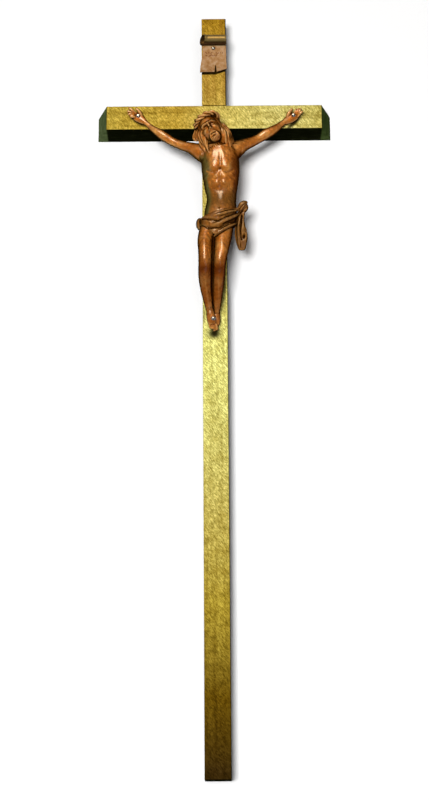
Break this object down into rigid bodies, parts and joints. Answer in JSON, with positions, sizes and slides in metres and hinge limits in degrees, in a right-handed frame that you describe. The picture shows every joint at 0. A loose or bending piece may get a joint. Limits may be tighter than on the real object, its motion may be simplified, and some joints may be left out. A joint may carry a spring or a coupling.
{
  "type": "coffin crucifix",
  "caption": "Wooden coffin cross with a cast bronzed corpus, a coppered title scroll and domed nails, lying on its back.",
  "frame": {"origin": "middle of the cross's back face, on its underside", "axes": "+X along the crossbeam to the viewer's right, +Y along the upright to its top, +Z out of the front"},
  "size_m": [0.193, 0.62, 0.0612],
  "materials": {
    "cross_wood": "varnished golden oak",
    "corpus_metal": "bronzed and lacquered casting",
    "title_metal": "coppered casting",
    "nail_steel": "bright steel"
  },
  "bodies": {
    "root": {"upright": "cross_wood", "crossbeam": "cross_wood", "corpus": "corpus_metal", "title_scroll": "title_metal", "nail_right_hand": "nail_steel", "nail_left_hand": "nail_steel", "nail_feet": "nail_steel", "title_pin": "nail_steel"}
  },
  "joints": []
}
